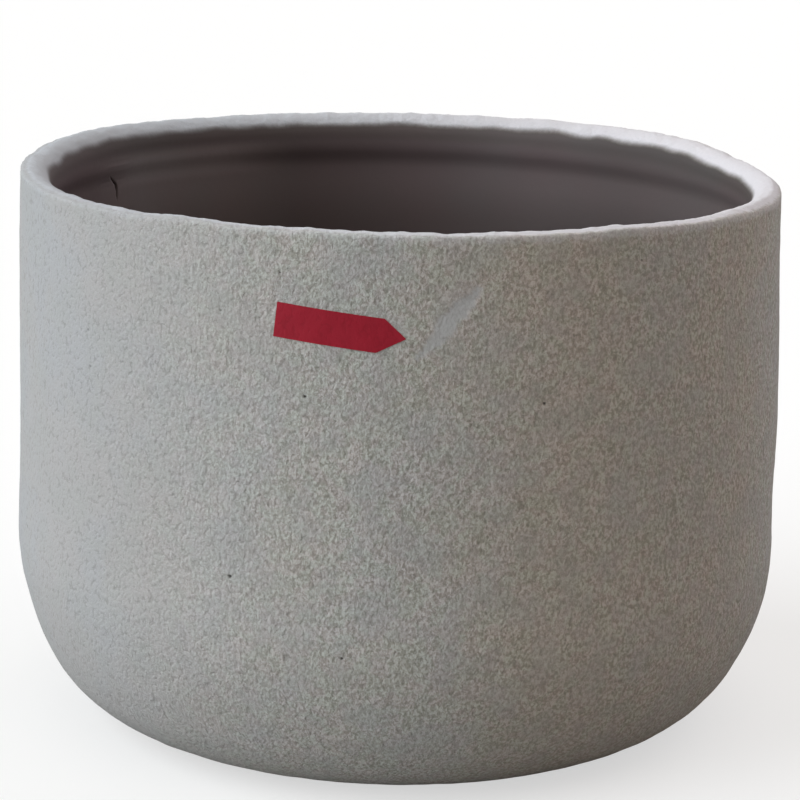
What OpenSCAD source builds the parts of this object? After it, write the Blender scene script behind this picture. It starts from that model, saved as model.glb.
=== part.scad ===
// Cracked flower pot: a wide straight-sided pot with a rounded bottom, cast in one piece,
// with a thin film arrow stuck on the front of its wall.
// Millimetres, +Z up, origin in the middle of the face it stands on, marked side towards -Y.

/* [Pot] */
// Outside diameter at the rim
rim_d = 290; // [220:1:380]
// Full height, from the face it stands on to the rim's crest
height = 212; // [170:1:280]
// How far the wall leans out between the rim and its widest ring, on each side
flare = 3; // [0:0.5:8]
// Thickness of the wall below the lip
wall = 8.5; // [6:0.5:12]
// Thickness of the floor
floor_t = 11; // [8:0.5:16]
// Radius of the gentle curve in which the wall turns under
side_curve_r = 95; // [70:1:110]
// Angle that the gentle curve turns through before the heel takes over
side_curve_turn = 30; // [20:1:38]
// Radius of the heel, the tighter curve that meets the base
heel_r = 47; // [36:1:60]
// Diameter of the drain hole in the middle of the floor
drain_d = 20; // [10:1:40]

/* [Rim] */
// Thickness of the lip, the thicker band inside the rim
lip_t = 12; // [12:0.5:15]
// Depth of the lip below the rim's crest
lip_h = 11; // [10:0.5:20]
// Height over which the lip runs out into the wall below it
cove_h = 7; // [4:0.5:12]
// Rounding on the outer edge of the rim
rim_outer_r = 1.5; // [1:0.5:2.5]
// Rounding on the inner edge of the rim
rim_inner_r = 8.5; // [2:0.5:9]

/* [Crack] */
// Where the crack lies, as an angle from the middle of the front, towards the left
crack_at = 119.5; // [60:0.5:180]
// How far the crack's upper end lies below the rim's crest
crack_drop = 12.5; // [12:0.5:40]
// How far the crack runs down the wall
crack_len = 18; // [12:1:80]
// Width of the crack where it gapes most
crack_w = 1.3; // [0.6:0.1:2.5]
// Depth of the crack into the wall
crack_depth = 3; // [1:0.5:5]

/* [Arrow marker] */
// Length of the film arrow, from its square end to its tip
arrow_len = 45; // [30:1:60]
// Width of the film arrow
arrow_w = 12; // [8:0.5:20]
// Length of the arrow's pointed end along its upper edge
arrow_point_top = 8; // [6:0.5:15]
// Length of the arrow's pointed end along its lower edge
arrow_point_foot = 9.5; // [6:0.5:15]
// Thickness of the film
film_t = 0.15; // [0.1:0.05:0.3]
// How far the arrow's middle lies below the rim's crest
arrow_drop = 33.3; // [26:0.1:60]
// Where the arrow's middle lies, as an angle from the middle of the front, towards the left
arrow_at = 8; // [-60:0.1:60]
// How far the arrow's tip points downwards
arrow_dip = 6; // [-30:0.5:30]

/* [Hidden] */

$fn = 96;
arc_step = 6;      // largest angle between two points of an arc in the section
overshoot = 2;     // how far a cutter runs past the face it cuts
stone = [0.62, 0.62, 0.60];
film_red = [0.55, 0.13, 0.19];

rim_r = rim_d / 2;
belly_r = rim_r + flare;                                   // widest radius of the pot

// Centres of the outer arcs. The heel touches the base, and the side curve touches the heel.
heel_c = [belly_r - side_curve_r + (side_curve_r - heel_r) * cos(side_curve_turn), heel_r];
belly_z = heel_r + (side_curve_r - heel_r) * sin(side_curve_turn);
side_c = [belly_r - side_curve_r, belly_z];
rim_c = [rim_r - rim_outer_r, height - rim_outer_r];

// Lean of the straight wall, from the line that touches both the side curve and the rim's edge.
span = rim_c - side_c;
lean = atan2(span[1], span[0]) - acos((side_curve_r - rim_outer_r) / norm(span));
wall_dir = [cos(lean), sin(lean)];
wall_foot = side_c + side_curve_r * wall_dir;

// Radius of the outer and the inner face of the straight wall at height z.
function outer_r(z) = wall_foot[0] - (z - wall_foot[1]) * tan(lean);
function inner_r(z) = outer_r(z) - wall / cos(lean);

// Points along an arc from angle a to angle b, both ends included.
function arc(c, r, a, b) =
    let (n = max(1, ceil(abs(b - a) / arc_step)))
    [for (i = [0 : n]) c + r * [cos(a + (b - a) * i / n), sin(a + (b - a) * i / n)]];

// The inner heel starts on the same line as the outer one and touches the floor.
inner_heel_start = heel_c + (heel_r - wall) * [cos(side_curve_turn), -sin(side_curve_turn)];
inner_heel_r = (inner_heel_start[1] - floor_t) / (1 - sin(side_curve_turn));
inner_heel_c = inner_heel_start - inner_heel_r * [cos(side_curve_turn), -sin(side_curve_turn)];

lip_in_r = rim_r - lip_t;
lip_foot_z = height - lip_h;
cove_foot_z = lip_foot_z - cove_h;
cove_steps = 8;

// The run-out below the lip, as a smooth step from the wall up to the lip.
cove = [for (i = [0 : cove_steps])
    let (t = i / cove_steps, ease = (1 - cos(180 * t)) / 2)
    [inner_r(cove_foot_z) * (1 - ease) + lip_in_r * ease, cove_foot_z + cove_h * t]];

section = concat(
    [[0, 0]],
    arc(heel_c, heel_r, -90, -side_curve_turn),
    arc(side_c, side_curve_r, -side_curve_turn, lean),
    arc(rim_c, rim_outer_r, lean, 90),
    arc([lip_in_r + rim_inner_r, height - rim_inner_r], rim_inner_r, 90, 180),
    [for (i = [cove_steps : -1 : 0]) cove[i]],
    arc(side_c, side_curve_r - wall, lean, -side_curve_turn),
    arc(inner_heel_c, inner_heel_r, -side_curve_turn, -90),
    [[0, floor_t]]
);

// The crack's gape as a share of crack_w, and how far it has wandered to the side,
// at even steps from its top to its end.
crack_gape = [0.2, 0.5, 0.9, 1, 0.85, 0.5, 0.15];
crack_wander = [2, 1.5, -1, -2.8, -3.8, -4.5, -5];
crack_steps = len(crack_gape) - 1;

function crack_point(i, side) =
    [crack_wander[i] + side * crack_gape[i] * crack_w / 2, -crack_len * i / crack_steps];

// A thin curved blade that stands in the wall where the crack is.
module crack_cutter() {
    outline = concat(
        [for (i = [0 : crack_steps]) crack_point(i, 1)],
        [for (i = [crack_steps : -1 : 0]) crack_point(i, -1)]
    );
    crack_top_z = height - crack_drop;
    face_r = inner_r(crack_top_z - crack_len / 2);
    start_r = lip_in_r - overshoot;
    rotate([0, 0, -crack_at])
        translate([0, -start_r, crack_top_z])
            rotate([90, 0, 0])
                linear_extrude(face_r + crack_depth - start_r)
                    polygon(outline);
}

module pot() {
    color(stone)
    difference() {
        rotate_extrude() polygon(section);
        translate([0, 0, -overshoot]) cylinder(d = drain_d, h = floor_t + 2 * overshoot);
        crack_cutter();
    }
}

// The arrow's flat outline, tip towards +X, with its middle at the origin.
module arrow_outline() {
    tip = arrow_len / 2;
    half = arrow_w / 2;
    polygon([
        [-tip, -half], [tip - arrow_point_foot, -half], [tip, 0], [tip - arrow_point_top, half],
        [-tip, half]
    ]);
}

// A skin of film on the straight wall, cut to the arrow's outline.
module arrow_marker() {
    arrow_z = height - arrow_drop;
    top_z = arrow_z + arrow_len;
    foot_z = arrow_z - arrow_len;
    color(film_red)
    intersection() {
        rotate_extrude()
            polygon([
                [outer_r(foot_z), foot_z], [outer_r(foot_z) + film_t, foot_z],
                [outer_r(top_z) + film_t, top_z], [outer_r(top_z), top_z]
            ]);
        rotate([0, 0, -arrow_at])
            translate([0, -rim_r / 2, arrow_z])
                rotate([90, arrow_dip, 0])
                    linear_extrude(rim_r)
                        arrow_outline();
    }
}

pot();
arrow_marker();
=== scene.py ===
# %% [markdown]
# # A cracked flower pot
# The pot is a wide, straight-sided planter with a rounded bottom. It was cast in one piece from a
# stony mix, so it is one mesh here too. A short open crack runs down the inside of the wall. The wall
# has a scuffed streak on the front, and a red film arrow is stuck beside the scuff.
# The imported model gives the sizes. This lesson gives the surfaces: an uneven hand-finished rim, a
# grained outside, a smooth dark inside, the crack, the scuff and a few pits.

# %% Load the frame
import math
import bpy
import numpy as np
from mathutils import Matrix, Vector, noise


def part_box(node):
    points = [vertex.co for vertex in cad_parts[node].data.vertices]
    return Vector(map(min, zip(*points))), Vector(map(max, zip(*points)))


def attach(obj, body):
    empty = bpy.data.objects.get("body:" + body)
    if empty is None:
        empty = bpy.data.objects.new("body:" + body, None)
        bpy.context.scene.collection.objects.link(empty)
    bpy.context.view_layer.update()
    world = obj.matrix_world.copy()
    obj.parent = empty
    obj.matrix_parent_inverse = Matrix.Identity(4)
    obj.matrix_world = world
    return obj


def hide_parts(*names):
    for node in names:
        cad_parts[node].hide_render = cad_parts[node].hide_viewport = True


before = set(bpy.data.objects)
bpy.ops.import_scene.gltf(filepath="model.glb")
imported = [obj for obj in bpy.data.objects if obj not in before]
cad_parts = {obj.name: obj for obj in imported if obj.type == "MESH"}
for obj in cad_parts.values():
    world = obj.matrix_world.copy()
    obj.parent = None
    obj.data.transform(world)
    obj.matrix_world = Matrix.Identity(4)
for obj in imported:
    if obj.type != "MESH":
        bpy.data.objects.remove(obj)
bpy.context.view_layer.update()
pot_low, pot_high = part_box("pot")
print("pot box", [round(v, 4) for v in pot_low], [round(v, 4) for v in pot_high])

# %% [markdown]
# ## Sizes
# Everything is in metres. The height and the widest radius are read from the model, and the rest
# are the few sizes that the model is built from, so that the detailed pot has its section. Three
# follow the maker's hand instead: the rim slopes a little outwards, its outer edge is sharper, and
# the lip runs out more softly into the wall.

# %% Sizes of the pot
MM = 0.001
height = pot_high.z
belly_r = (pot_high.x - pot_low.x) / 2
flare = 3 * MM
rim_r = belly_r - flare
wall = 8.5 * MM
floor_t = 11 * MM
side_curve_r = 95 * MM
side_curve_turn = math.radians(30)
heel_r = 47 * MM
drain_r = 10 * MM
lip_t = 12 * MM
lip_h = 11 * MM
cove_h = 11 * MM
rim_outer_r = 1 * MM
rim_slope_h = 1.1 * MM
rim_inner_r = 8.5 * MM
lip_in_r = rim_r - lip_t
print("rim radius", round(rim_r, 4), "height", round(height, 4))

# %% [markdown]
# ## Small helpers
# Operators act on whatever is selected, so each step starts from a clean selection. Faces are then
# picked in code by where they are.

# %% Helpers for selecting and editing
def pick_only(piece):
    """Selects one object, makes it active and leaves the rest alone."""
    bpy.ops.object.select_all(action="DESELECT")
    piece.select_set(True)
    bpy.context.view_layer.objects.active = piece


def select_points(piece, wanted):
    """Selects the points of a piece that pass a test, ready for edit mode."""
    pick_only(piece)
    bpy.ops.object.mode_set(mode="EDIT")
    bpy.ops.mesh.select_mode(type="VERT")
    bpy.ops.mesh.select_all(action="DESELECT")
    bpy.ops.object.mode_set(mode="OBJECT")
    for vertex in piece.data.vertices:
        vertex.select = wanted(vertex)
    bpy.ops.object.mode_set(mode="EDIT")


def select_faces(piece, wanted):
    """Selects the faces whose centre passes a test, in object mode, and counts them."""
    mesh = piece.data
    for parts in (mesh.vertices, mesh.edges, mesh.polygons):
        parts.foreach_set("select", [False] * len(parts))
    for face in mesh.polygons:
        face.select = wanted(face.center)
    return sum(face.select for face in mesh.polygons)


def refine(piece, wanted, cuts):
    """Cuts the faces that pass a test into finer ones."""
    pick_only(piece)
    chosen = select_faces(piece, wanted)
    bpy.ops.object.mode_set(mode="EDIT")
    bpy.ops.mesh.select_mode(type="FACE")
    bpy.ops.mesh.subdivide(number_cuts=cuts)
    bpy.ops.object.mode_set(mode="OBJECT")
    print("refined", chosen, "faces, now", len(piece.data.polygons))


def apply_modifier(piece, modifier):
    """Makes the result of a modifier the piece's own mesh."""
    pick_only(piece)
    bpy.ops.object.modifier_apply(modifier=modifier.name)


def turn_of(place):
    """The angle round the pot in degrees, from the middle of the front, positive to the right."""
    return math.degrees(math.atan2(place.x, -place.y))


def smooth_step(low, high, value):
    """0 before low and 1 past high, with a smooth rise between. It falls when low is the larger."""
    t = min(max((value - low) / (high - low), 0), 1)
    return t * t * (3 - 2 * t)


# %% [markdown]
# ## The section of the pot
# A pot like this is a turned shape: half of its section, spun round the upright axis, is the whole
# pot. The section starts at the drain hole, runs out under the base, up the heel and the wall, over
# the rim, down inside and back across the floor. Straight stretches and arcs are cut into short
# steps here, so that the spun faces come out nearly square.

# %% The section as straight stretches and arcs
def straight(a, b, step):
    """Even points from a to b, without b."""
    n = max(1, round(math.dist(a, b) / step))
    return [(a[0] + (b[0] - a[0]) * i / n, a[1] + (b[1] - a[1]) * i / n) for i in range(n)]


def on_circle(centre, r, angle):
    """The point of a circle at an angle."""
    return (centre[0] + r * math.cos(angle), centre[1] + r * math.sin(angle))


def arc(centre, r, start, end, step):
    """Even points along an arc, without its end."""
    n = max(2, round(r * abs(end - start) / step))
    return [on_circle(centre, r, start + (end - start) * i / n) for i in range(n)]


heel_c = (belly_r - side_curve_r + (side_curve_r - heel_r) * math.cos(side_curve_turn), heel_r)
side_c = (belly_r - side_curve_r, heel_r + (side_curve_r - heel_r) * math.sin(side_curve_turn))
rim_c = (rim_r - rim_outer_r, height - rim_slope_h - rim_outer_r / 2)
span = (rim_c[0] - side_c[0], rim_c[1] - side_c[1])
lean = math.atan2(span[1], span[0]) - math.acos((side_curve_r - rim_outer_r) / math.hypot(*span))
wall_foot = on_circle(side_c, side_curve_r, lean)


def outer_r(z):
    """Radius of the straight wall's outer face at a height."""
    return wall_foot[0] - (z - wall_foot[1]) * math.tan(lean)


def inner_r(z):
    """Radius of the wall's inner face at a height, below the lip."""
    return outer_r(z) - wall / math.cos(lean)


inner_heel_start = on_circle(heel_c, heel_r - wall, -side_curve_turn)
inner_heel_r = (inner_heel_start[1] - floor_t) / (1 - math.sin(side_curve_turn))
inner_heel_c = on_circle(inner_heel_start, inner_heel_r, math.pi - side_curve_turn)
lip_foot = (lip_in_r, height - lip_h)
cove_foot = (inner_r(height - lip_h - cove_h), height - lip_h - cove_h)
crest = (lip_in_r + rim_inner_r, height)
rim_inner_c = (crest[0], height - rim_inner_r)
to_crest = (crest[0] - rim_c[0], crest[1] - rim_c[1])
slope_turn = math.atan2(to_crest[1], to_crest[0]) - math.acos(rim_outer_r / math.hypot(*to_crest))


def cove(steps):
    """The smooth run-out from the lip down to the wall, without its lower end."""
    points = []
    for i in range(steps):
        ease = (1 - math.cos(math.pi * i / steps)) / 2
        r = lip_foot[0] + (cove_foot[0] - lip_foot[0]) * ease
        points.append((r, lip_foot[1] - cove_h * i / steps))
    return points


base_step = 10 * MM
drain_step = 5 * MM
wall_step = 2.4 * MM
inner_step = 2.4 * wall_step
rim_step = 1.3 * MM
cove_steps = 5
quarter = math.pi / 2
inner_side_top = on_circle(side_c, side_curve_r - wall, lean)
section = (
    straight((drain_r, 0), (heel_c[0], 0), base_step)
    + arc(heel_c, heel_r, -quarter, -side_curve_turn, wall_step)
    + arc(side_c, side_curve_r, -side_curve_turn, lean, wall_step)
    + straight(wall_foot, on_circle(rim_c, rim_outer_r, lean), wall_step)
    + arc(rim_c, rim_outer_r, lean, slope_turn, rim_step / 2)
    + straight(on_circle(rim_c, rim_outer_r, slope_turn), crest, rim_step)
    + arc(rim_inner_c, rim_inner_r, quarter, 2 * quarter, rim_step)
    + straight((lip_in_r, rim_inner_c[1]), lip_foot, wall_step)
    + cove(cove_steps)
    + straight(cove_foot, inner_side_top, inner_step)
    + arc(side_c, side_curve_r - wall, lean, -side_curve_turn, inner_step)
    + arc(inner_heel_c, inner_heel_r, -side_curve_turn, -quarter, inner_step)
    + straight((inner_heel_c[0], floor_t), (drain_r, floor_t), base_step)
    + straight((drain_r, floor_t), (drain_r, 0), drain_step)
)
print("section of", len(section), "points")

# %% [markdown]
# ## Turning the pot
# Merging a plane to its middle leaves a single point. That point is extruded along the section,
# the last one is joined to the first, and the closed outline is spun once round. The seam is merged
# and the normals are turned outwards.

# %% Draw the section and spin it
spin_steps = 360
weld = 0.02 * MM


def lathe(name, outline, steps):
    """Draws a half section as a chain of edges and spins it once round into a closed body."""
    bpy.ops.object.select_all(action="DESELECT")
    bpy.ops.mesh.primitive_plane_add(size=0.01)
    piece = bpy.context.object
    piece.name = name
    bpy.ops.object.mode_set(mode="EDIT")
    bpy.ops.mesh.select_mode(type="VERT")
    bpy.ops.mesh.select_all(action="SELECT")
    bpy.ops.mesh.merge(type="CENTER")
    bpy.ops.transform.translate(value=(outline[0][0], 0, outline[0][1]))
    for a, b in zip(outline, outline[1:]):
        move = (b[0] - a[0], 0, b[1] - a[1])
        bpy.ops.mesh.extrude_region_move(TRANSFORM_OT_translate={"value": move})
    bpy.ops.object.mode_set(mode="OBJECT")
    select_points(piece, lambda vertex: vertex.index in (0, len(outline) - 1))
    bpy.ops.mesh.edge_face_add()
    bpy.ops.mesh.select_all(action="SELECT")
    bpy.ops.mesh.spin(steps=steps, angle=2 * math.pi, center=(0, 0, 0), axis=(0, 0, 1))
    bpy.ops.mesh.select_all(action="SELECT")
    bpy.ops.mesh.remove_doubles(threshold=weld)
    bpy.ops.mesh.normals_make_consistent(inside=False)
    bpy.ops.object.mode_set(mode="OBJECT")
    return piece


pot = lathe("pot_cast", section, spin_steps)
print("spun pot", len(pot.data.polygons), "faces")

# %% [markdown]
# ## Finer faces where the small damage is
# Even faces all over would have to be far too many to show a crack one millimetre wide. The faces
# are cut finer only in the rim's band, round the crack, along the scuff and round each pit. Places on
# the wall are given as an angle from the middle of the front, in degrees, and a drop below the rim's
# crest, in millimetres. Lines on the wall are points across and up from such a place, and a reach is
# how far to the left, right, foot and top a mark may go.

# %% Where the damage is
def lies_inside(place):
    """True on the inner side of the wall and on the floor."""
    r = math.hypot(place.x, place.y)
    z = place.z
    if z >= height - lip_h:
        return r < rim_inner_c[0]
    if z > heel_r:
        return r < outer_r(z) - wall / 2
    in_heel = math.dist((r, z), heel_c) < heel_r - wall / 2
    return z > floor_t / 2 and (in_heel or r < heel_c[0])


crack_turn = -119.5
crack_line = [
    (3, -15.5), (1.8, -17.5), (-0.8, -19.3), (-4, -21.5), (-4.8, -24), (-5.1, -26.5), (-5, -29),
]
crack_gape = [0.1, 0.2, 0.4, 0.75, 1, 0.7, 0.2]
crack_w = 1.3 * MM
crack_reach = (-9, 6, -34, -9)
crack_middle = 22 * MM
crack_r = inner_r(height - crack_middle)

scuff_line = [(26.5, -19), (21.8, -25), (16.8, -30.5), (12.8, -35.5), (9.8, -39), (6.5, -42)]
scuff_half = [1.4, 3.2, 3.1, 2.6, 1.9, 0.9]
scuff_reach = (0, 32, -46, -14)

# Each pit is an angle, a drop, a size and a depth.
pits = [
    (-12.5, 57, 0.7, 0.9), (20, 59, 0.6, 0.8), (-23, 123.5, 0.7, 0.9), (-7, 149, 0.65, 0.8),
    (-24.5, 30, 0.5, 0.5), (-16, 15, 0.5, 0.5), (-49, 46, 0.5, 0.5), (-48.5, 59, 0.5, 0.4),
    (35, 12, 0.5, 0.5),
]
pits_behind = 26
chance = np.random.default_rng(7)
for _ in range(pits_behind):
    pit_turn = chance.uniform(70, 290)
    pit_drop = chance.uniform(12, 165)
    pit_size = chance.uniform(0.4, 0.8)
    pit_depth = chance.uniform(0.4, 0.9)
    pits.append((pit_turn, pit_drop, pit_size, pit_depth))
print(len(pits), "pits")

# %% Cut the faces finer there
def flat_place(place, turn, r):
    """Millimetres to the right of a turn and above the crest, measured along the wall."""
    away = (turn_of(place) - turn + 180) % 360 - 180
    return math.radians(away) * r / MM, (place.z - height) / MM


def in_reach(across, up, reach):
    """True inside a reach of left, right, foot and top."""
    left, right, foot, top = reach
    return left < across < right and foot < up < top


def near_crack(place):
    across, up = flat_place(place, crack_turn, crack_r)
    return lies_inside(place) and in_reach(across, up, crack_reach)


def near_scuff(place):
    across, up = flat_place(place, 0, rim_r)
    return not lies_inside(place) and in_reach(across, up, scuff_reach)


lowest_pit = 40 * MM
pit_room = 1.6


def near_pit(place):
    if lies_inside(place) or place.z < lowest_pit:
        return False
    for turn, drop, size, _ in pits:
        across, up = flat_place(place, turn, rim_r)
        if abs(across) < size + pit_room and abs(up + drop) < size + pit_room:
            return True
    return False


rim_band = 6 * MM
refine(pot, lambda place: place.z > height - rim_band, cuts=1)
refine(pot, near_crack, cuts=6)
refine(pot, near_scuff, cuts=1)
refine(pot, near_pit, cuts=6)

# %% [markdown]
# ## Moving points by shares
# A vertex group holds how much each point takes part, and a Displace modifier moves the points by
# that share, so that each dent or unevenness is one step that can be seen and changed.

# %% Move points by a share of a distance
least_move = 0.001 * MM


def push(piece, name, direction, amount):
    """Moves each point along a direction by amount(point) metres, positive or negative."""
    moves = [amount(vertex.co) for vertex in piece.data.vertices]
    for sign in (1, -1):
        most = max(sign * move for move in moves)
        if most < least_move:
            continue
        group = piece.vertex_groups.new(name=name)
        for index, move in enumerate(moves):
            if sign * move > 0:
                group.add([index], sign * move / most, "REPLACE")
        displace = piece.modifiers.new(name, "DISPLACE")
        displace.direction = direction
        displace.vertex_group = group.name
        displace.mid_level = 0
        displace.strength = sign * most
        apply_modifier(piece, displace)
        piece.vertex_groups.clear()
    print(name, "moves points by", round(min(moves) / MM, 2), "to", round(max(moves) / MM, 2), "mm")


def between(points, value):
    """Smoothly follows a list of (place, amount) pairs."""
    for (a, low), (b, high) in zip(points, points[1:]):
        if value <= b:
            return low + (high - low) * smooth_step(a, b, value)
    return points[-1][1]


def clouds(place, size, seed):
    """Smooth unevenness from -1 to 1 whose swellings are about a given size across."""
    return noise.noise(place / size + Vector((seed * 17.3, seed * 5.1, seed * 9.7)))


def layers_of_clouds(place, layers):
    """Adds up clouds, each given as its strength, its size in millimetres and its seed."""
    return sum(strength * clouds(place, size * MM, seed) for strength, size, seed in layers)


# %% [markdown]
# ## The crack, the scuff and the pits
# Each is pressed in along the normals. The crack is deepest in its middle and closes to a hairline at
# both ends. The scuff has worn the grain away, so it is a shallow, ragged streak. The pits are air
# bubbles that opened at the surface when the mix was cast.

# %% The shapes of the crack, the scuff and the pits
crack_half = [gape * crack_w / MM / 2 for gape in crack_gape]
crack_wobble = [(0.25, 3, 7)]
crack_top, crack_foot = (-16.8, -21), (-28.8, -24.5)     # where it is closed, and where open
scuff_ragged = [(0.4, 4, 8), (0.35, 1.8, 9)]
crack_edge, scuff_edge, pit_edge = (0.35, 1.25), (0.65, 1.25), (0.2, 1.2)
far_off, least_half = 9, 0.05


def off_line(across, up, line, halves):
    """How far off a line a point is, as a share of the line's half width there."""
    best = far_off
    for (a, b, half_a, half_b) in zip(line, line[1:], halves, halves[1:]):
        run = (b[0] - a[0], b[1] - a[1])
        t = ((across - a[0]) * run[0] + (up - a[1]) * run[1]) / (run[0] ** 2 + run[1] ** 2)
        t = min(max(t, 0), 1)
        away = math.hypot(across - a[0] - t * run[0], up - a[1] - t * run[1])
        best = min(best, away / max(half_a + (half_b - half_a) * t, least_half))
    return best


def crack_share(place):
    """1 in the middle of the crack, 0 outside it."""
    if not near_crack(place):
        return 0
    across, up = flat_place(place, crack_turn, crack_r)
    across += layers_of_clouds(place, crack_wobble)
    opening = smooth_step(*crack_top, up) * smooth_step(*crack_foot, up)
    return opening * (1 - smooth_step(*crack_edge, off_line(across, up, crack_line, crack_half)))


def scuff_share(place):
    """1 in the scuffed streak, 0 outside it, with a ragged edge."""
    if not near_scuff(place):
        return 0
    across, up = flat_place(place, 0, rim_r)
    ragged = layers_of_clouds(place, scuff_ragged)
    return 1 - smooth_step(*scuff_edge, off_line(across, up, scuff_line, scuff_half) + ragged)


def pit_share(place):
    """How deep a pit is at a point, in millimetres."""
    if not near_pit(place):
        return 0
    deepest = 0
    for turn, drop, size, depth in pits:
        across, up = flat_place(place, turn, rim_r)
        away = math.hypot(across, up + drop) / size
        deepest = max(deepest, depth * (1 - smooth_step(*pit_edge, away)))
    return deepest


# %% [markdown]
# ## Marks for the finish
# The material has to know where the wall turns inside, where the streak was scuffed and where painted
# shade darkens the crack and the pits. Each is a number kept on the points of the mesh.

# %% Keep the marks on the points
far_outside = -20
# How much painted shade a pit takes for each millimetre of its depth.
pit_shade_gain = 1.2


def past_crest(place):
    """Millimetres past the crest on the inner side, along the surface. Negative outside."""
    r = math.hypot(place.x, place.y)
    drop = height - place.z
    if not lies_inside(place):
        return max(-math.hypot(r - crest[0], drop) / MM, far_outside)
    if drop >= rim_inner_r:
        return (rim_inner_r * math.pi / 2 + drop - rim_inner_r) / MM
    return math.atan2(rim_inner_c[0] - r, rim_inner_r - drop) * rim_inner_r / MM


def recess_shade_share(place):
    """Painted shade darkens the crack and the pits, most where they are deep."""
    return max(crack_share(place), min(pit_share(place) * pit_shade_gain, 1))


def mark(piece, name, value):
    """Keeps a number on every point of a piece, under a name that its material reads."""
    kept = piece.data.attributes.new(name, "FLOAT", "POINT")
    kept.data.foreach_set("value", [float(value(vertex.co)) for vertex in piece.data.vertices])
    print("mark", name)


mark(pot, "inside", past_crest)
mark(pot, "scuff", scuff_share)
mark(pot, "recess_shade", recess_shade_share)

# %% Press the damage in
crack_depth, scuff_depth = 2.6 * MM, 0.08 * MM
push(pot, "crack", "NORMAL", lambda place: -crack_depth * crack_share(place))
push(pot, "scuff", "NORMAL", lambda place: -scuff_depth * scuff_share(place))
push(pot, "pits", "NORMAL", lambda place: -MM * pit_share(place))

# %% [markdown]
# ## Working by hand: an uneven cast
# A cast pot is never a true turned shape. It leans a little, its wall swells and sinks, and its rim
# was trowelled by hand. The damage is on the mesh already, so it follows the unevenness. The rim's
# line is a list of angles and heights in millimetres. It is high at the back and low on the right.

# %% Lean and flattened sides
lean_out, lean_top = 1.3 * MM, height - 30 * MM
flat_right, drawn_left = (-1.1, 84, 24), (0.45, 44, 14)     # by how much, how high up, how tall


def lean_right(place):
    """The body stands a little to the right of its foot and its rim."""
    return lean_out * math.sin(math.pi * min(max(place.z / lean_top, 0), 1))


def flat_sides(place):
    """The right side is flatter below its middle, and the left one pulls in above the heel."""
    side = math.sin(math.radians(turn_of(place)))
    move, middle, tall = flat_right if side > 0 else drawn_left
    return side ** 2 * (move * math.exp(-((place.z / MM - middle) / tall) ** 2)) * MM


push(pot, "lean", "X", lean_right)
push(pot, "flat_sides", "X", flat_sides)

# %% Swellings and lumps of the wall
swellings = [(0.3, 75, 1), (0.16, 22, 2)]
lumps = [(0.13, 6, 5), (0.1, 11, 6)]
calm_foot, even_base = 25 * MM, 2 * MM


def wall_swell(place):
    """Broad swellings, which die out towards the base."""
    calm = smooth_step(0, calm_foot, place.z)
    return calm * layers_of_clouds(place, swellings) * MM


def wall_lumps(place):
    """Small lumps, on the outside only."""
    if lies_inside(place) or place.z < even_base:
        return 0
    return layers_of_clouds(place, lumps) * MM


push(pot, "swellings", "NORMAL", wall_swell)
push(pot, "lumps", "NORMAL", wall_lumps)

# %% The rim's own line and its worn edge
rim_line = [
    (-180, 0.3), (-150, 0.5), (-120, 1.5), (-107, 1.3), (-95, 0.2), (-70, -0.9), (-40, -1.0), (-32, 0),
    (-22, -0.4), (-15, 0), (-12.5, 0.3), (-9, -0.3), (-6, -0.1), (4, -0.2), (14, -0.1), (20, -0.3),
    (25, -0.2), (31, 0.1), (38, -0.5), (47, -1.3), (58, -1.3), (80, -1.8), (100, -1.9), (109, -1.5),
    (117, -0.3), (123, 0.8), (130, 1.4), (150, 0.9), (180, 0.3),
]
worn_depth = 1.3 * MM
rim_fades = (height - 16 * MM, height - 2 * MM)
worn_fades = (height - 9 * MM, height - 1.5 * MM)
rough_fades = (height - 5 * MM, height - 1 * MM)
worn_start, worn_end = (45, 75), (122, 104)
rim_roughness = [(0.26, 2.6, 10), (0.3, 5, 3), (0.25, 11, 4)]


def rim_rise(place):
    """The rim's line, which fades out a little way down the wall."""
    amount = smooth_step(*rim_fades, place.z)
    return amount * between(rim_line, turn_of(place)) * MM if amount else 0


def worn_edge(place):
    """On the right the rim's outer edge is worn down rounder than elsewhere."""
    amount = smooth_step(*worn_fades, place.z)
    outwards = smooth_step(crest[0], rim_r, math.hypot(place.x, place.y))
    where = smooth_step(*worn_start, turn_of(place)) * smooth_step(*worn_end, turn_of(place))
    return -worn_depth * amount * outwards * where


def rim_ragged(place):
    """Small crumbled lumps along the rim."""
    amount = smooth_step(*rough_fades, place.z)
    return amount * layers_of_clouds(place, rim_roughness) * MM if amount else 0


push(pot, "rim_line", "Z", rim_rise)
push(pot, "worn_edge", "Z", worn_edge)
push(pot, "rim_ragged", "NORMAL", rim_ragged)
pot.data.shade_smooth()
triangles = sum(len(face.vertices) - 2 for face in pot.data.polygons)
print("pot", len(pot.data.polygons), "faces,", triangles, "triangles")

# %% [markdown]
# ## The film arrow
# The arrow is cut from thin self-adhesive film. It starts as a flat plane in front of the pot, gets its
# point by an extrusion, is cut into small faces, and is then wrapped straight back onto the wall,
# which gives it the wall's curve and its faint lumps. Solidify gives it the film's thickness.

# %% Cut the arrow and wrap it on
arrow_low, arrow_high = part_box("arrow_marker")
arrow_len, arrow_w = 45 * MM, 12 * MM
point_top, point_foot = 8 * MM, 9.5 * MM
arrow_turn, arrow_dip = math.radians(7.7), math.radians(6)
arrow_z = height - 33.3 * MM
film_t, film_gap = 0.15 * MM, 0.05 * MM


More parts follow.
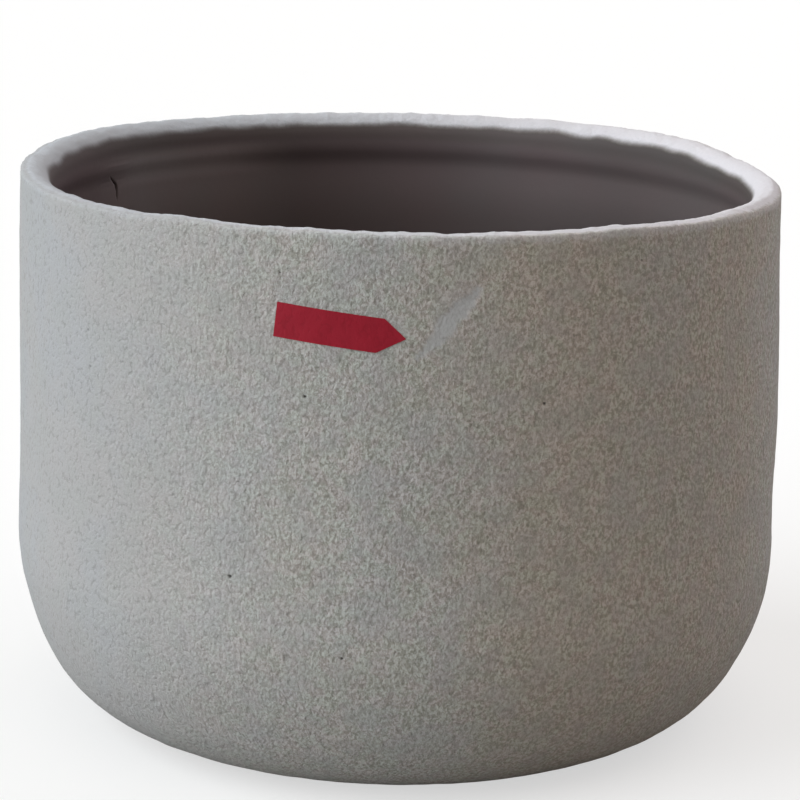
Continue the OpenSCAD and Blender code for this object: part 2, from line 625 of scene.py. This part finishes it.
def cut_arrow(name):
    """Makes the flat arrow round its middle, with its point towards +X, in small faces."""
    bpy.ops.object.select_all(action="DESELECT")
    body_len = arrow_len - point_foot
    middle = -arrow_len / 2 + body_len / 2
    bpy.ops.mesh.primitive_plane_add(size=1, location=(middle, 0, 0))
    arrow = bpy.context.object
    arrow.name = name
    arrow.scale = (body_len, arrow_w, 1)
    bpy.ops.object.transform_apply(location=True, rotation=False, scale=True)
    shoulder = arrow_len / 2 - point_foot
    select_points(arrow, lambda vertex: vertex.co.x > shoulder - MM)
    bpy.ops.mesh.extrude_region_move(TRANSFORM_OT_translate={"value": (point_foot, 0, 0)})
    bpy.ops.mesh.merge(type="CENTER")
    bpy.ops.object.mode_set(mode="OBJECT")
    select_points(arrow, lambda vertex: vertex.co.y > MM and abs(vertex.co.x - shoulder) < MM)
    bpy.ops.transform.translate(value=(point_foot - point_top, 0, 0))
    bpy.ops.mesh.select_all(action="SELECT")
    bpy.ops.mesh.subdivide(number_cuts=14)
    bpy.ops.mesh.subdivide(number_cuts=1)
    bpy.ops.object.mode_set(mode="OBJECT")
    return arrow


def wrap_on(arrow):
    """Stands the arrow up in front of the wall and presses it straight back onto the pot."""
    stand_up = Matrix.Rotation(math.pi / 2, 4, "X")
    arrow.data.transform(Matrix.Rotation(arrow_dip, 4, "Y") @ stand_up)
    swing = Matrix.Rotation(-arrow_turn, 4, "Z")
    well_in_front = 1.5 * belly_r
    arrow.location = swing @ Vector((0, -well_in_front, arrow_z))
    arrow.rotation_euler = (0, 0, -arrow_turn)
    wrap = arrow.modifiers.new("wrap", "SHRINKWRAP")
    wrap.target = pot
    wrap.wrap_method = "PROJECT"
    wrap.use_project_y = True
    wrap.use_positive_direction = True
    wrap.offset = film_gap
    apply_modifier(arrow, wrap)
    bpy.ops.object.transform_apply(location=True, rotation=True, scale=True)
    thicken = arrow.modifiers.new("film", "SOLIDIFY")
    thicken.thickness = film_t
    thicken.offset = 1
    apply_modifier(arrow, thicken)


arrow = cut_arrow("arrow_film")
wrap_on(arrow)
arrow.data.shade_smooth()
bpy.ops.object.shade_smooth_by_angle(angle=math.radians(35))
low = [min(vertex.co[i] for vertex in arrow.data.vertices) for i in range(3)]
high = [max(vertex.co[i] for vertex in arrow.data.vertices) for i in range(3)]
print("arrow", len(arrow.data.polygons), "faces, off the model's box by, in mm",
      [round((a - b) / MM, 2) for a, b in zip(low + high, list(arrow_low) + list(arrow_high))])

# %% [markdown]
# ## Helpers for materials
# A material is a tree of small nodes. These helpers add one node each, fill in its inputs by name or
# number, link the ones that are outputs of other nodes, and return the output that is used most.

# %% Small builders for nodes
def node(tree, kind, inputs=None, **settings):
    """Adds a node, sets its settings and its inputs, and returns it."""
    made = tree.nodes.new(kind)
    for name, value in settings.items():
        setattr(made, name, value)
    for name, value in (inputs or {}).items():
        if isinstance(value, bpy.types.NodeSocket):
            tree.links.new(value, made.inputs[name])
        else:
            made.inputs[name].default_value = value
    return made


def calc(tree, operation, a, b):
    return node(tree, "ShaderNodeMath", {0: a, 1: b}, operation=operation).outputs[0]


def times(tree, a, b):
    return calc(tree, "MULTIPLY", a, b)


def plus(tree, a, b):
    return calc(tree, "ADD", a, b)


def less(tree, a, b):
    return calc(tree, "SUBTRACT", a, b)


def share(tree, value, low, high, to_low=0.0, to_high=1.0):
    """A smooth share of how far a value lies between two limits."""
    limits = {"Value": value, "From Min": low, "From Max": high, "To Min": to_low, "To Max": to_high}
    return node(tree, "ShaderNodeMapRange", limits, interpolation_type="SMOOTHSTEP").outputs[0]


def tint(tree, amount, a, b, how="MIX"):
    """Colour a with an amount of colour b laid over it."""
    a = (*a, 1) if isinstance(a, tuple) else a
    b = (*b, 1) if isinstance(b, tuple) else b
    inputs = {0: amount, 6: a, 7: b}
    return node(tree, "ShaderNodeMix", inputs, data_type="RGBA", blend_type=how).outputs[2]


def speckle(tree, place, size, detail=2.0, rough=0.5):
    """Cloudy noise from 0 to 1 whose spots are about a given size across."""
    inputs = {"Vector": place, "Scale": 1 / size, "Detail": detail, "Roughness": rough}
    return node(tree, "ShaderNodeTexNoise", inputs).outputs[0]


def wandering(tree, place, size, reach, detail, rough=0.5):
    """Noise that wanders to both sides of nothing."""
    return times(tree, less(tree, speckle(tree, place, size, detail, rough), 0.5), reach)


def read_mark(tree, name):
    mark_node = node(tree, "ShaderNodeAttribute", attribute_name=name, attribute_type="GEOMETRY")
    return mark_node.outputs["Fac"]


# %% [markdown]
# ## The grain
# The outside of the cast is covered in small round grains, about one and a half millimetres across and
# a little taller than they are wide, with dark and pale freckles among them. The film on it shows the
# same grain faintly. So the grain is a node group. It gives a height for the bump, the grooves between
# the grains, and the freckles. The domes come from a cell pattern whose places are pushed aside by
# noise, because cells alone look too regular. Finer noise breaks the domes up.

# %% The grain as a node group
grain_size, grain_depth = 1.6 * MM, 0.56 * MM
grain_stretch = (1, 1, 0.8)
dome_height, finer_height = 0.45, 0.7
groove_levels, freckle_levels = (0.62, 0.48), (0.38, 0.62)
# Each noise is its spots to a grain, its detail and its roughness, and the last is distorted too.
wander_noise, finer_noise, freckle_noise = (1.4, 1.0, 0.5), (1.6, 2.0, 0.6), (1.3, 3.0, 0.7, 0.5)


def grain_noise(group, place, per_grain, fineness, detail, rough, distortion=0.0):
    """Noise with a given number of spots to a grain."""
    return node(group, "ShaderNodeTexNoise", {
        "Vector": place, "Scale": times(group, per_grain, fineness),
        "Detail": detail, "Roughness": rough, "Distortion": distortion,
    }).outputs


def pushed_aside(group, place, wander, size):
    """Places moved by up to half a grain's size to all sides."""
    aside = node(group, "ShaderNodeVectorMath", {0: wander, 1: (0.5, 0.5, 0.5)}, operation="SUBTRACT")
    aside = node(group, "ShaderNodeVectorMath", {0: aside.outputs[0], "Scale": size}, operation="SCALE")
    moved = node(group, "ShaderNodeVectorMath", {0: place, 1: aside.outputs[0]}, operation="ADD")
    return moved.outputs[0]


def make_grain():
    """Builds the group, from its named inputs to its three outputs."""
    group = bpy.data.node_groups.new("cast_grain", "ShaderNodeTree")
    face = group.interface
    face.new_socket("Place", in_out="INPUT", socket_type="NodeSocketVector")
    face.new_socket("Grain size", in_out="INPUT", socket_type="NodeSocketFloat")
    for name in ("Height", "Grooves", "Freckles"):
        face.new_socket(name, in_out="OUTPUT", socket_type="NodeSocketFloat")
    given = group.nodes.new("NodeGroupInput").outputs
    result = group.nodes.new("NodeGroupOutput").inputs
    tall = node(group, "ShaderNodeMapping", {"Vector": given["Place"], "Scale": grain_stretch}).outputs[0]
    per_grain = calc(group, "DIVIDE", 1.0, given["Grain size"])

    wander = grain_noise(group, tall, per_grain, *wander_noise)["Color"]
    spot = pushed_aside(group, tall, wander, given["Grain size"])
    cells = node(group, "ShaderNodeTexVoronoi", {"Vector": spot, "Scale": per_grain})
    off_middle = cells.outputs["Distance"]
    domes = less(group, 1.0, times(group, off_middle, off_middle))
    finer = grain_noise(group, tall, per_grain, *finer_noise)[0]
    relief = plus(group, times(group, domes, dome_height), times(group, finer, finer_height))
    freckles = grain_noise(group, tall, per_grain, *freckle_noise)[0]
    group.links.new(relief, result["Height"])
    group.links.new(share(group, relief, *groove_levels), result["Grooves"])
    group.links.new(share(group, freckles, *freckle_levels), result["Freckles"])
    return group


grain = make_grain()
print("grain group with", len(grain.nodes), "nodes")


def lay_grain(tree, place, size):
    """Places the grain in a material and returns its three outputs."""
    made = node(tree, "ShaderNodeGroup")
    made.node_tree = grain
    tree.links.new(place, made.inputs["Place"])
    made.inputs["Grain size"].default_value = size
    return made.outputs


# %% [markdown]
# ## The cast stone: where each finish lies
# The light skin of the cast ends in a ragged line just past the crest. A painted highlight lies along
# the crest and, fainter, on the rounding just below it, widest on the right. Borders drawn on the mesh
# would be as stiff as its edges. Here the marks on the points say how far past the crest a place is,
# and noise makes each border ragged. Levels past the crest are in millimetres.

# %% Shares of each finish
skin_end = (6.8, 10.4)
# Where the painted highlight lies on the crest and the rounding below it, widest on the right.
highlight_levels, highlight_band_levels = (-2.0, -0.4), (-4.4, -2.6)
wider_highlight, wider_highlight_from = 1.2, (-90 * MM, 60 * MM)
ragged_noise, wavy_noise = (3 * MM, 4.0, 3.0, 0.65), (14 * MM, 2.6, 0.0)
ragged_in_wavy, ragged_in_highlight = 0.15, 0.8


def stone_finishes(tree, place):
    """Where a place is, and how much of each finish it has."""
    past = read_mark(tree, "inside")
    across = node(tree, "ShaderNodeSeparateXYZ", {0: place}).outputs[0]
    ragged = wandering(tree, place, *ragged_noise)
    wavy = wandering(tree, place, *wavy_noise)
    wavy = plus(tree, wavy, times(tree, ragged, ragged_in_wavy))
    inside = share(tree, plus(tree, past, wavy), *skin_end)
    skin = less(tree, 1.0, inside)
    # How far the painted highlight reaches, further on the right.
    more = share(tree, across, *wider_highlight_from, 0.0, wider_highlight)
    highlight_to = plus(tree, past, plus(tree, times(tree, ragged, ragged_in_highlight), more))
    return {
        "past": past, "across": across, "wavy": wavy, "inside": inside, "skin": skin,
        # The crest and the band below it carry the painted highlight.
        "crest": times(tree, share(tree, highlight_to, *highlight_levels), skin),
        "highlight_band": times(tree, share(tree, highlight_to, *highlight_band_levels), skin),
        "scuffed": read_mark(tree, "scuff"), "recess_shade": read_mark(tree, "recess_shade"),
    }


# %% [markdown]
# ## The cast stone: its outside
# Outside it is a light warm grey, mottled in patches of a few centimetres, with painted warm shade that
# makes it darker and browner on the right. From the middle to the right the grain has weathered into
# freckles of rust and olive, which fade out towards the left, and painted shade darkens the grooves
# between the grains. A painted highlight makes the crest and the rounding just below it paler. Each of
# these is laid over the last by its own share, so that any of them can be changed alone.

# %% The outside's colours
outside_warm, outside_cool = (0.357, 0.339, 0.320), (0.348, 0.341, 0.331)
outside_green, green_amount = (0.338, 0.333, 0.309), 0.5
mottle_noise, mottle_levels = (45 * MM, 3.0, 0.6), (0.38, 0.62)
patch_noise, patch_levels = (14 * MM, 3.0, 0.55), (0.4, 0.66)
# Painted warm shade: darker and browner on the right side.
right_warm_shade, warm_shade_wavering = (0.97, 0.90, 0.835), 4 * MM
warm_shade_from, warm_shade_until = (-5 * MM, 55 * MM), (152 * MM, 122 * MM)
# Painted shade in the grooves between the grains.
groove_shade_colour, groove_shade_amount = (0.12, 0.108, 0.09), 0.22
freckle_dark, freckle_pale = (0.82, 0.795, 0.73), (1.34, 1.34, 1.31)
stain_rust, stain_olive = (1.03, 0.98, 0.97), (0.98, 1.0, 0.95)
stain_size, stain_levels = 5 * MM, (0.42, 0.58)
weather_size, weather_levels = 13 * MM, (0.36, 0.6, 0.65, 1.1)
weathered_from, most_weathered = (-130 * MM, 0.0), 0.95
# Painted highlight on the crest, bluish on the left, paler and warmer on the right.
highlight_left, highlight_right = (0.46, 0.465, 0.475), (0.64, 0.60, 0.605)
highlight_side_from, highlight_band_amount, highlight_amount = (-120 * MM, 120 * MM), 0.3, 0.8


def mottled_grey(tree, place, lies):
    """The plain cast, in soft patches, with painted warm shade that turns it darker and browner to the
    right.
    """
    mottle = share(tree, speckle(tree, place, *mottle_noise), *mottle_levels)
    patches = share(tree, speckle(tree, place, *patch_noise), *patch_levels)
    colour = tint(tree, mottle, outside_warm, outside_cool)
    colour = tint(tree, times(tree, patches, green_amount), colour, outside_green)
    wavering = plus(tree, lies["across"], times(tree, lies["wavy"], warm_shade_wavering))
    warm_shade = share(tree, wavering, *warm_shade_from)
    warm_shade = times(tree, warm_shade, share(tree, lies["across"], *warm_shade_until))
    return tint(tree, warm_shade, colour, right_warm_shade, "MULTIPLY")


def weathered_grain(tree, place, lies, grained, colour):
    """Freckles of rust and olive over a colour, and painted shade in the grooves between the grains."""
    stains = share(tree, speckle(tree, place, stain_size), *stain_levels)
    freckles = tint(tree, grained["Freckles"], freckle_dark, freckle_pale)
    freckles = tint(tree, 1.0, freckles, tint(tree, stains, stain_rust, stain_olive), "MULTIPLY")
    in_patches = share(tree, speckle(tree, place, weather_size), *weather_levels)
    weathered = times(tree, share(tree, lies["across"], *weathered_from, 0.0, most_weathered), in_patches)
    colour = tint(tree, weathered, colour, freckles, "MULTIPLY")
    # Painted shade in the grooves.
    return tint(tree, times(tree, grained["Grooves"], groove_shade_amount), colour, groove_shade_colour)


def outside_colour(tree, place, lies, grained):
    """The whole outside, with the painted highlight on the crest and fainter painted light on the rounding
    below it.
    """
    colour = weathered_grain(tree, place, lies, grained, mottled_grey(tree, place, lies))
    # The painted highlight's colour, from left to right.
    pale = tint(tree, share(tree, lies["across"], *highlight_side_from), highlight_left, highlight_right)
    colour = tint(tree, times(tree, lies["highlight_band"], highlight_band_amount), colour, pale)
    return tint(tree, times(tree, lies["crest"], highlight_amount), colour, pale)


# %% [markdown]
# ## The cast stone: its inside
# The inside is a smooth brown grey. Painted shade darkens it on the lip and deep down, painted light
# brightens it on the left, most of all just under the lip, and painted shade darkens the wall on the
# right. They only change the colour, so each is multiplied over the plain brown grey.

# %% The inside's colours
inside_brown, inside_grey = (0.172, 0.127, 0.123), (0.164, 0.132, 0.127)
inner_size, inner_levels = 60 * MM, (0.35, 0.65)
# Painted shade on the lip.
lip_shade, lip_end = (0.58, 0.59, 0.56), (12.0, 19.0)
# Painted shade deep down in the pot.
deep_shade, deep_from = (0.62, 0.60, 0.58), (17.0, 57.0)
# Painted light on the left of the inside, strongest just under the lip.
inside_painted_light, under_lip_end = (1.45, 1.52, 1.52), (30.0, 24.0)
lit_zone_right, lit_zone_left = (-40 * MM, -80 * MM), (-130 * MM, -106 * MM)
# Painted shade on the inner wall's right side.
right_shade_inside, right_shade_from = (0.68, 0.69, 0.67), (45 * MM, 100 * MM)


def inside_colour(tree, place, lies):
    """The whole inside, from the lip down to the floor."""
    past, across = lies["past"], lies["across"]
    mottle = share(tree, speckle(tree, place, inner_size), *inner_levels)
    colour = tint(tree, mottle, inside_brown, inside_grey)
    # Painted shade deep down.
    colour = tint(tree, share(tree, past, *deep_from), colour, deep_shade, "MULTIPLY")
    below_lip = share(tree, past, *lip_end)
    # Painted shade on the lip.
    colour = tint(tree, less(tree, 1.0, below_lip), colour, lip_shade, "MULTIPLY")
    # Painted light on the left, and more of it just under the lip.
    lit_left = times(tree, share(tree, across, *lit_zone_right), below_lip)
    lit_left = times(tree, lit_left, share(tree, across, *lit_zone_left))
    colour = tint(tree, lit_left, colour, inside_painted_light, "MULTIPLY")
    under_lip = times(tree, share(tree, past, *under_lip_end), lit_left)
    colour = tint(tree, under_lip, colour, inside_painted_light, "MULTIPLY")
    # Painted shade on the right.
    return tint(tree, share(tree, across, *right_shade_from), colour, right_shade_inside, "MULTIPLY")


# %% [markdown]
# ## The cast stone: its relief, and the whole of it
# A bump gives the grain its relief, full on the skin, less on the crest, on the scuff and far to
# the left, and next to nothing inside. The scuff is a smooth grey that looks bluish beside the brown,
# and painted shade darkens the crack and the pits.

# %% The cast stone material
scuff_grey, scuff_amount = (0.39, 0.38, 0.365), 0.85
# Painted shade for the crack and the pits.
recess_shade_colour, recess_shade_amount = (0.03, 0.024, 0.022), 0.9
skin_rough, inside_rough, scuff_smooth = 0.93, 0.72, 0.2
smoother_left, least_grainy = (-150 * MM, -85 * MM), 0.5
scuff_calm, crest_calm = 0.4, 0.4
skin_height, fine_height, fine_noise = 0.5, 0.12, (2.5 * MM, 3.0)


def stone_relief(tree, place, lies, grained):
    """The height that the bump follows."""
    grainy = times(tree, less(tree, 1.0, times(tree, lies["scuffed"], scuff_calm)), lies["skin"])
    grainy = times(tree, grainy, share(tree, lies["across"], *smoother_left, least_grainy))
    grainy = times(tree, grainy, less(tree, 1.0, times(tree, lies["crest"], crest_calm)))
    relief = times(tree, grained["Height"], grainy)
    relief = plus(tree, relief, times(tree, lies["skin"], skin_height))
    return plus(tree, relief, times(tree, speckle(tree, place, *fine_noise), fine_height))


def start_material(name):
    """A new material, its tree, its shader and the place on the piece."""
    material = bpy.data.materials.new(name)
    material.use_nodes = True
    tree = material.node_tree
    shader = tree.nodes["Principled BSDF"]
    place = node(tree, "ShaderNodeTexCoord").outputs["Object"]
    return material, tree, shader, place


def make_cast_stone():
    """Lays the outside, the inside, the scuff and the dirt over each other."""
    material, tree, shader, place = start_material("cast_stone")
    grained = lay_grain(tree, place, grain_size)
    lies = stone_finishes(tree, place)
    outside = outside_colour(tree, place, lies, grained)
    colour = tint(tree, lies["inside"], outside, inside_colour(tree, place, lies))
    colour = tint(tree, times(tree, lies["scuffed"], scuff_amount), colour, scuff_grey)
    # Painted shade in the crack and the pits.
    colour = tint(tree, times(tree, lies["recess_shade"], recess_shade_amount), colour, recess_shade_colour)
    tree.links.new(colour, shader.inputs["Base Color"])

    rough = share(tree, lies["inside"], 0.0, 1.0, skin_rough, inside_rough)
    rough = less(tree, rough, times(tree, lies["scuffed"], scuff_smooth))
    tree.links.new(rough, shader.inputs["Roughness"])
    shader.inputs["Specular IOR Level"].default_value = 0.3
    relief = stone_relief(tree, place, lies, grained)
    bump = node(tree, "ShaderNodeBump", {"Height": relief, "Strength": 1.0, "Distance": grain_depth})
    tree.links.new(bump.outputs[0], shader.inputs["Normal"])
    return material


cast_stone = make_cast_stone()
pot.data.materials.append(cast_stone)
print("cast stone with", len(cast_stone.node_tree.nodes), "nodes")

# %% [markdown]
# ## The red film
# The arrow is satin film in a deep red. It lies tight on the wall, so the wall's grain shows through it
# a little, and its face is very slightly uneven in colour.

# %% The red film material
film_red, film_deep = (0.303, 0.0095, 0.022), (0.280, 0.0085, 0.020)
film_shade, film_shade_amount = (0.19, 0.005, 0.012), 0.25
film_noise, film_levels = (6 * MM, 3.0), (0.35, 0.65)
film_grain_depth = 0.12 * MM


def make_red_film():
    """Red film with the cast's grain showing through it."""
    material, tree, shader, place = start_material("red_film")
    grained = lay_grain(tree, place, grain_size)
    cloudy = share(tree, speckle(tree, place, *film_noise), *film_levels)
    colour = tint(tree, cloudy, film_red, film_deep)
    # Painted shade in the grooves of the grain under the film.
    colour = tint(tree, times(tree, grained["Grooves"], film_shade_amount), colour, film_shade)
    tree.links.new(colour, shader.inputs["Base Color"])
    shader.inputs["Roughness"].default_value = 0.5
    shader.inputs["Specular IOR Level"].default_value = 0.2
    relief = {"Height": grained["Height"], "Strength": 1.0, "Distance": film_grain_depth}
    tree.links.new(node(tree, "ShaderNodeBump", relief).outputs[0], shader.inputs["Normal"])
    return material


red_film = make_red_film()
arrow.data.materials.append(red_film)
print("red film with", len(red_film.node_tree.nodes), "nodes")

# %% [markdown]
# ## The floor
# The object stands on a plain pale sheet. Where the camera looks straight at it, it has some light of
# its own, so that it reads as white paper while the pot's shadow stays. The air behind it is white to
# the camera too. Neither of these whites lights the pot, which only gets the paper's plain shine and
# a dim grey air.

# %% Floor
bpy.ops.object.select_all(action="DESELECT")
bpy.ops.mesh.primitive_plane_add(size=14, location=(0, 0, 0))
floor = bpy.context.object
floor.name = "floor"

paper_lit, paper_seen = (0.45, 0.44, 0.43), (0.36, 0.348, 0.33)
no_glow, paper_glow = (0.0, 0.0, 0.0), (0.60, 0.60, 0.60)


def make_floor():
    """Pale paper, which glows a little where the camera sees it directly."""
    material = bpy.data.materials.new("white_paper")
    material.use_nodes = True
    tree = material.node_tree
    shader = tree.nodes["Principled BSDF"]
    seen = node(tree, "ShaderNodeLightPath").outputs["Is Camera Ray"]
    tree.links.new(tint(tree, seen, paper_lit, paper_seen), shader.inputs["Base Color"])
    tree.links.new(tint(tree, seen, no_glow, paper_glow), shader.inputs["Emission Color"])
    shader.inputs["Emission Strength"].default_value = 1.0
    shader.inputs["Roughness"].default_value = 0.9
    shader.inputs["Specular IOR Level"].default_value = 0.1
    return material


floor.data.materials.append(make_floor())

# %% [markdown]
# ## Light and camera
# Wide lamps far away light the pot as a pale studio does. The strongest and coolest stands on the
# left, and a weak warm one on the front right. One behind on the right picks out the right edge, one
# straight behind lights the near part of the rim, and a broad one overhead catches all of it.
# A lamp of strength pi lights a surface that faces it so that its colour shows as written.

# %% Lamps
def lamp(name, turn, rise, level, spread, colour):
    """A distant soft lamp: its place round and above the pot, its level, its width and its colour."""
    data = bpy.data.lights.new(name, "SUN")
    data.energy = level * math.pi
    data.angle = math.radians(spread)
    data.color = colour
    made = bpy.data.objects.new(name, data)
    bpy.context.scene.collection.objects.link(made)
    turn, rise = math.radians(turn), math.radians(rise)
    out = math.cos(rise)
    away = Vector((math.sin(turn) * out, -math.cos(turn) * out, math.sin(rise)))
    made.location = away * 2
    made.rotation_euler = away.to_track_quat("Z", "Y").to_euler()


lamp("key_left", -75, 24, 1.42, 70, (0.845, 0.92, 1.0))
lamp("fill_right", 35, 55, 0.18, 60, (1.0, 0.94, 0.88))
lamp("back_right", 120, 20, 0.40, 70, (0.92, 0.90, 1.0))
lamp("back", 180, 35, 0.18, 70, (1.0, 0.92, 0.85))
lamp("overhead", 0, 88, 0.15, 80, (0.92, 0.96, 1.0))

# %% The air round the pot
air_dim, air_seen = (0.07, 0.068, 0.066), (0.97, 0.97, 0.97)
world = bpy.data.worlds.new("studio")
bpy.context.scene.world = world
world.use_nodes = True
air = world.node_tree
seen_directly = node(air, "ShaderNodeLightPath").outputs["Is Camera Ray"]
air_colour = tint(air, seen_directly, air_dim, air_seen)
air.links.new(air_colour, air.nodes["Background"].inputs["Color"])
bpy.context.scene.view_settings.view_transform = "Standard"
print(len(bpy.data.lights), "lamps")

# %% Camera
eye = bpy.data.cameras.new("camera")
eye.lens = 126
eye.sensor_width = 36
camera = bpy.data.objects.new("camera", eye)
bpy.context.scene.collection.objects.link(camera)
tilt, roll, swing = 0.2406, 0.0223, 0.0013
camera_away, camera_up = 7.3413 * rim_r, 1.1631 * rim_r
stand = Matrix.Translation((0, -camera_away, height + camera_up))
turned = Matrix.Rotation(math.pi / 2 - tilt, 4, "X") @ Matrix.Rotation(-swing, 4, "Y")
camera.matrix_world = stand @ turned @ Matrix.Rotation(roll, 4, "Z")
bpy.context.scene.camera = camera

# %% [markdown]
# ## Which part each piece stands for
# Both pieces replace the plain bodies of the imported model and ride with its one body.

# %% Tie the pieces to the model and finish
for piece, stands_for, finish in ((pot, "pot", "cast_stone"), (arrow, "arrow_marker", "red_film")):
    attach(piece, "root")
    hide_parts(stands_for)
